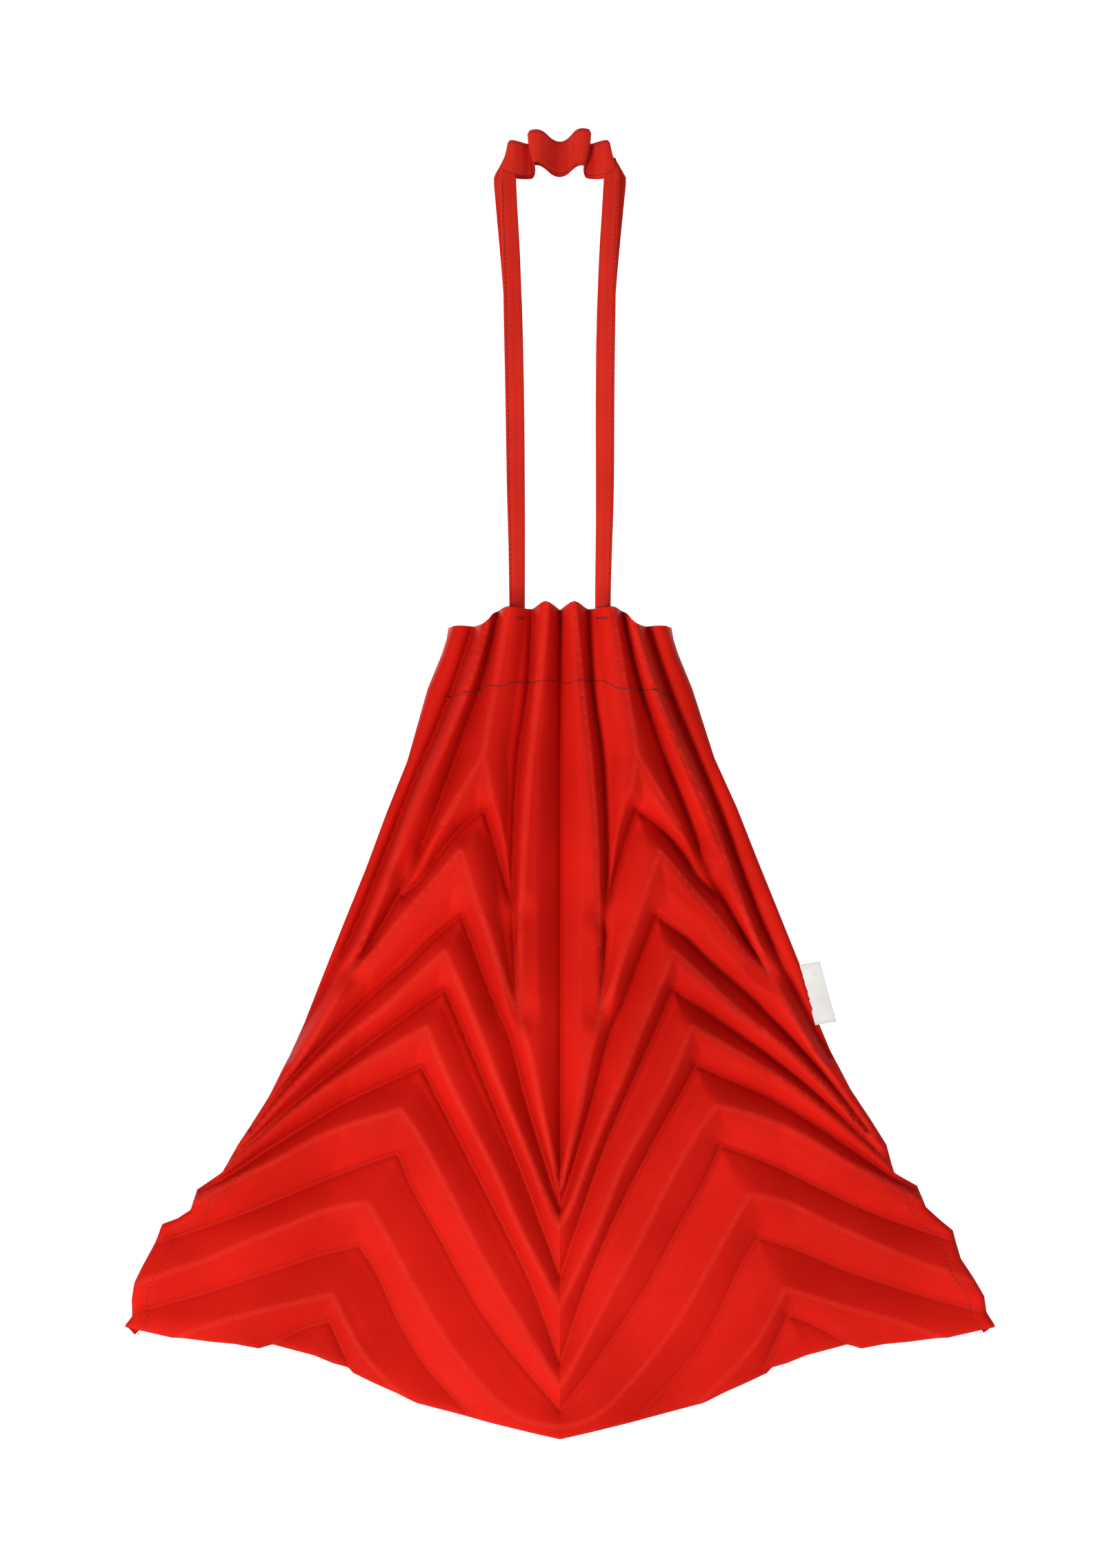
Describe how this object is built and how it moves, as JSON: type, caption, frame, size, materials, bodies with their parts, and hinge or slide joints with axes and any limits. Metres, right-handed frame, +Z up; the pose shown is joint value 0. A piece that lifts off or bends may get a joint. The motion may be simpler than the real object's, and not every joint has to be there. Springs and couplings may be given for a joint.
{
  "type": "foldable tote bag",
  "caption": "Foldable tote bag of heat-set pleated cloth with a chevron pleat pattern, a narrow gathered mouth, a wide base and long crimped strap handles.",
  "frame": {"origin": "the point the bag hangs from: on the centre plane, at the underside of the crimped tops of the two handles", "axes": "+Z up along the hanging bag, -Y out of its front, +X to the right seen from the front"},
  "size_m": [0.53, 0.0503, 0.7985],
  "materials": {
    "cloth": "satin pleated polyester twill",
    "inside_cloth": "inner side of the same twill",
    "strap": "folded twill strap",
    "thread": "matching polyester thread",
    "label": "white satin ribbon"
  },
  "bodies": {
    "front_wall": {"front_bar_tack_left": "thread", "front_bar_tack_right": "thread", "front_facing": "inside_cloth", "front_hem_stitch": "thread", "front_panel": "cloth", "front_strap_end_left": "strap", "front_strap_end_right": "strap"},
    "front_handle": {"front_handle": "strap", "front_handle_stitch_left": "thread", "front_handle_stitch_right": "thread"},
    "back_wall": {"back_bar_tack_left": "thread", "back_bar_tack_right": "thread", "back_facing": "inside_cloth", "back_hem_stitch": "thread", "back_panel": "cloth", "back_strap_end_left": "strap", "back_strap_end_right": "strap"},
    "rear_handle": {"rear_handle": "strap", "rear_handle_stitch_left": "thread", "rear_handle_stitch_right": "thread"},
    "left_wing": {"left_back_wing": "cloth", "left_front_wing": "cloth", "left_seam_allowance": "inside_cloth", "left_seam_stitch": "thread"},
    "right_wing": {"right_back_wing": "cloth", "right_front_wing": "cloth", "right_seam_allowance": "inside_cloth", "right_seam_stitch": "thread"},
    "side_label": {"side_label": "label"}
  },
  "joints": [
    {"name": "front_handle_swing", "type": "hinge", "parent": "front_wall", "child": "front_handle", "pos_m": [0, -0.022, -0.267], "axis": [1, 0, 0], "range_deg": [0, 160]},
    {"name": "mouth_opening", "type": "hinge", "parent": "front_wall", "child": "back_wall", "pos_m": [0, 0, -0.775], "axis": [-1, 0, 0], "range_deg": [0, 10], "stiffness_Nm_per_rad": 1},
    {"name": "rear_handle_swing", "type": "hinge", "parent": "back_wall", "child": "rear_handle", "pos_m": [0, 0.022, -0.267], "axis": [-1, 0, 0], "range_deg": [0, 160]},
    {"name": "left_fold", "type": "hinge", "parent": "front_wall", "child": "left_wing", "pos_m": [-0.067, -0.0145, -0.274], "axis": [0.1553, 0, 0.9879], "range_deg": [0, 165], "stiffness_Nm_per_rad": 0.02},
    {"name": "right_fold", "type": "hinge", "parent": "front_wall", "child": "right_wing", "pos_m": [0.067, -0.0145, -0.274], "axis": [0.1553, 0, -0.9879], "range_deg": [0, 165], "stiffness_Nm_per_rad": 0.02},
    {"name": "label_flap", "type": "hinge", "parent": "right_wing", "child": "side_label", "pos_m": [0.1438, 0.0005, -0.486], "axis": [-0.3894, 0, 0.9211], "range_deg": [0, 75], "stiffness_Nm_per_rad": 0.001}
  ]
}
